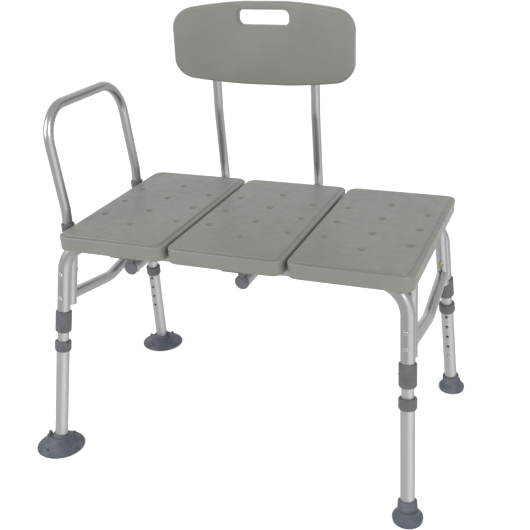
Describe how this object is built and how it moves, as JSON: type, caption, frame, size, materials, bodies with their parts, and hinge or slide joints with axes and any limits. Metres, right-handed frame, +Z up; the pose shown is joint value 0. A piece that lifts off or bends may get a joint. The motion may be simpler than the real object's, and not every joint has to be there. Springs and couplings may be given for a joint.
{
  "type": "bath transfer bench",
  "caption": "Three-panel plastic bath transfer bench on a splayed tube frame, with a lift-out side armrest loop, a slide-out backrest and telescoping legs with suction or rubber feet.",
  "frame": {"origin": "the middle of the bench's footprint box, on the floor plane under the feet", "axes": "+Z up, +Y towards the backrest, +X towards the open end of the seat that has no armrest"},
  "size_m": [0.784, 0.5498, 0.8136],
  "materials": {
    "seat_plastic": "satin moulded",
    "aluminium": "satin anodised",
    "collar_plastic": "matt moulded",
    "cap_plastic": "satin moulded",
    "rubber": "matt",
    "steel": "zinc plated"
  },
  "bodies": {
    "frame": {"seat_panel_left": "seat_plastic", "seat_panel_middle": "seat_plastic", "seat_panel_right": "seat_plastic", "frame_tube_front": "aluminium", "frame_tube_rear": "aluminium", "arm_socket_front_left": "aluminium", "arm_socket_front_right": "aluminium", "arm_socket_rear_left": "aluminium", "arm_socket_rear_right": "aluminium", "side_brace_left": "aluminium", "side_brace_right": "aluminium", "leg_bolt_front_left": "steel", "upper_collar_front_left": "collar_plastic", "leg_bolt_front_right": "steel", "upper_collar_front_right": "collar_plastic", "leg_bolt_rear_left": "steel", "upper_collar_rear_left": "collar_plastic", "leg_bolt_rear_right": "steel", "upper_collar_rear_right": "collar_plastic", "arm_bush_front": "collar_plastic", "arm_bush_rear": "collar_plastic", "back_sleeve_left": "aluminium", "back_sleeve_right": "aluminium", "sleeve_cap_left": "cap_plastic", "sleeve_cap_right": "cap_plastic", "saddle_block_front_left": "collar_plastic", "saddle_block_front_right": "collar_plastic", "saddle_block_rear_left": "collar_plastic", "saddle_block_rear_right": "collar_plastic"},
    "fine_column_front_left": {"inner_tube_front_left": "aluminium"},
    "extension_front_left": {"extension_tube_front_left": "aluminium", "lower_collar_front_left": "collar_plastic", "suction_foot_front": "rubber"},
    "height_button_front_left": {"height_button_front_left": "steel"},
    "fine_button_front_left": {"fine_button_front_left": "steel"},
    "fine_column_front_right": {"inner_tube_front_right": "aluminium"},
    "extension_front_right": {"extension_tube_front_right": "aluminium", "lower_collar_front_right": "collar_plastic", "rubber_foot_front": "rubber"},
    "height_button_front_right": {"height_button_front_right": "steel"},
    "fine_button_front_right": {"fine_button_front_right": "steel"},
    "fine_column_rear_left": {"inner_tube_rear_left": "aluminium"},
    "extension_rear_left": {"extension_tube_rear_left": "aluminium", "lower_collar_rear_left": "collar_plastic", "suction_foot_rear": "rubber"},
    "height_button_rear_left": {"height_button_rear_left": "steel"},
    "fine_button_rear_left": {"fine_button_rear_left": "steel"},
    "fine_column_rear_right": {"inner_tube_rear_right": "aluminium"},
    "extension_rear_right": {"extension_tube_rear_right": "aluminium", "lower_collar_rear_right": "collar_plastic", "rubber_foot_rear": "rubber"},
    "height_button_rear_right": {"height_button_rear_right": "steel"},
    "fine_button_rear_right": {"fine_button_rear_right": "steel"},
    "armrest": {"armrest_tube": "aluminium"},
    "backrest": {"backrest_panel": "seat_plastic", "back_post_left": "aluminium", "back_post_right": "aluminium"},
    "back_button_left": {"back_button_left": "steel"},
    "back_button_right": {"back_button_right": "steel"}
  },
  "joints": [
    {"name": "fine_slide_front_left", "type": "slide", "parent": "frame", "child": "fine_column_front_left", "axis": [-0.0637, -0.1641, -0.9844], "range_m": [0, 0.0127]},
    {"name": "extension_slide_front_left", "type": "slide", "parent": "fine_column_front_left", "child": "extension_front_left", "axis": [-0.0637, -0.1641, -0.9844], "range_m": [0, 0.1016]},
    {"name": "height_button_press_front_left", "type": "slide", "parent": "extension_front_left", "child": "height_button_front_left", "axis": [0.0106, -0.9864, 0.1638], "range_m": [0, 0.0045], "stiffness_N_per_m": 400},
    {"name": "fine_button_press_front_left", "type": "slide", "parent": "frame", "child": "fine_button_front_left", "axis": [0.9979, 0, -0.0646], "range_m": [0, 0.0045], "stiffness_N_per_m": 400},
    {"name": "fine_slide_front_right", "type": "slide", "parent": "frame", "child": "fine_column_front_right", "axis": [0.0637, -0.1641, -0.9844], "range_m": [0, 0.0127]},
    {"name": "extension_slide_front_right", "type": "slide", "parent": "fine_column_front_right", "child": "extension_front_right", "axis": [0.0637, -0.1641, -0.9844], "range_m": [0, 0.1016]},
    {"name": "height_button_press_front_right", "type": "slide", "parent": "extension_front_right", "child": "height_button_front_right", "axis": [-0.0106, -0.9864, 0.1638], "range_m": [0, 0.0045], "stiffness_N_per_m": 400},
    {"name": "fine_button_press_front_right", "type": "slide", "parent": "frame", "child": "fine_button_front_right", "axis": [0.9979, 0, 0.0646], "range_m": [0, 0.0045], "stiffness_N_per_m": 400},
    {"name": "fine_slide_rear_left", "type": "slide", "parent": "frame", "child": "fine_column_rear_left", "axis": [-0.0637, 0.1641, -0.9844], "range_m": [0, 0.0127]},
    {"name": "extension_slide_rear_left", "type": "slide", "parent": "fine_column_rear_left", "child": "extension_rear_left", "axis": [-0.0637, 0.1641, -0.9844], "range_m": [0, 0.1016]},
    {"name": "height_button_press_rear_left", "type": "slide", "parent": "extension_rear_left", "child": "height_button_rear_left", "axis": [0.0106, 0.9864, 0.1638], "range_m": [0, 0.0045], "stiffness_N_per_m": 400},
    {"name": "fine_button_press_rear_left", "type": "slide", "parent": "frame", "child": "fine_button_rear_left", "axis": [0.9979, 0, -0.0646], "range_m": [0, 0.0045], "stiffness_N_per_m": 400},
    {"name": "fine_slide_rear_right", "type": "slide", "parent": "frame", "child": "fine_column_rear_right", "axis": [0.0637, 0.1641, -0.9844], "range_m": [0, 0.0127]},
    {"name": "extension_slide_rear_right", "type": "slide", "parent": "fine_column_rear_right", "child": "extension_rear_right", "axis": [0.0637, 0.1641, -0.9844], "range_m": [0, 0.1016]},
    {"name": "height_button_press_rear_right", "type": "slide", "parent": "extension_rear_right", "child": "height_button_rear_right", "axis": [-0.0106, 0.9864, 0.1638], "range_m": [0, 0.0045], "stiffness_N_per_m": 400},
    {"name": "fine_button_press_rear_right", "type": "slide", "parent": "frame", "child": "fine_button_rear_right", "axis": [0.9979, 0, 0.0646], "range_m": [0, 0.0045], "stiffness_N_per_m": 400},
    {"name": "armrest_lift", "type": "slide", "parent": "frame", "child": "armrest", "axis": [0, 0, 1], "range_m": [0, 0.065]},
    {"name": "backrest_slide", "type": "slide", "parent": "frame", "child": "backrest", "axis": [0, 1, 0], "range_m": [0, 0.1]},
    {"name": "back_button_press_left", "type": "slide", "parent": "frame", "child": "back_button_left", "axis": [0, 0, 1], "range_m": [0, 0.0045], "stiffness_N_per_m": 400},
    {"name": "back_button_press_right", "type": "slide", "parent": "frame", "child": "back_button_right", "axis": [0, 0, 1], "range_m": [0, 0.0045], "stiffness_N_per_m": 400}
  ]
}
